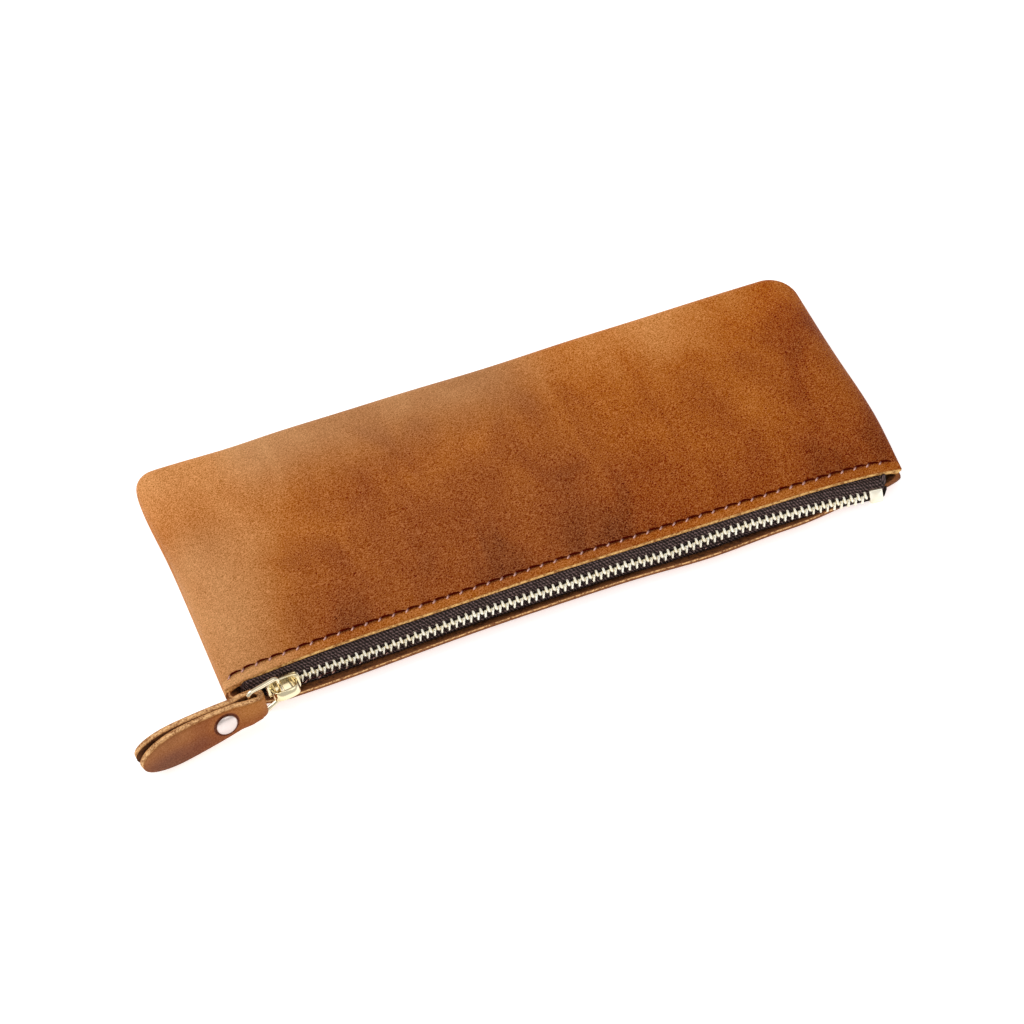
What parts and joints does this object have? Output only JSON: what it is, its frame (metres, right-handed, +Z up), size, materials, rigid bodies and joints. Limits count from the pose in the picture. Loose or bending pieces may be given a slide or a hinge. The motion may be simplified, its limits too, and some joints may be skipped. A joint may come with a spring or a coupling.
{
  "type": "fountain pen case",
  "caption": "Slim leather pen case closed by a brass zip along one long edge, with a wire ring and a folded, riveted leather pull tab.",
  "frame": {"origin": "on the table, under the middle of the case without its pull tab", "axes": "+X along the zip from the closed slider to the bottom stop, +Z up from the table, so that the zip is at -Y"},
  "size_m": [0.2288, 0.0935, 0.0148],
  "materials": {
    "leather_panel": "waxy pull-up leather",
    "leather_tab": "waxy pull-up leather",
    "zip_tape": "woven twill",
    "zip_brass": "polished",
    "spring_steel": "bright",
    "ring_wire": "polished",
    "rivet_nickel": "satin nickel",
    "thread": "waxed thread"
  },
  "bodies": {
    "case": {"lower_panel": "leather_panel", "lower_tape": "zip_tape", "lower_bead": "zip_tape", "lower_teeth": "zip_brass", "bottom_stop": "zip_brass", "lower_top_stop": "zip_brass", "lower_needle_thread": "thread", "lower_bobbin_thread": "thread", "side_bobbin_thread": "thread"},
    "upper_half": {"upper_panel": "leather_panel", "upper_tape": "zip_tape", "upper_bead": "zip_tape", "upper_teeth": "zip_brass", "upper_top_stop": "zip_brass", "upper_needle_thread": "thread", "upper_bobbin_thread": "thread", "side_needle_thread": "thread"},
    "slider": {"slider_body": "zip_brass", "slider_cap": "zip_brass", "lock_spring": "spring_steel"},
    "ring": {"pull_ring": "ring_wire"},
    "tab": {"pull_tab": "leather_tab", "rivet_cap": "rivet_nickel", "rivet_base": "rivet_nickel"}
  },
  "joints": [
    {"name": "slider_slide", "type": "slide", "parent": "case", "child": "slider", "axis": [1, 0, 0], "range_m": [0, 0.1696], "deforming": ["upper_teeth", "lower_teeth", "upper_tape", "upper_bead"]},
    {"name": "mouth_open", "type": "hinge", "parent": "case", "child": "upper_half", "pos_m": [0, 0.028, 0.01158], "axis": [-1, 0, 0], "range_deg": [0, 14]},
    {"name": "ring_swing", "type": "hinge", "parent": "slider", "child": "ring", "pos_m": [-0.08605, -0.04204, 0.00858], "axis": [-0.2192, 0.2112, 0.9525], "range_deg": [0, 100]},
    {"name": "tab_swing", "type": "hinge", "parent": "ring", "child": "tab", "pos_m": [-0.09478, -0.04454, 0.00712], "axis": [-0.2192, 0.2112, 0.9525], "range_deg": [0, 60]}
  ],
  "couplings": [
    {"joint": "mouth_open", "follows": "slider_slide", "rad_per_m": 1.4407}
  ]
}
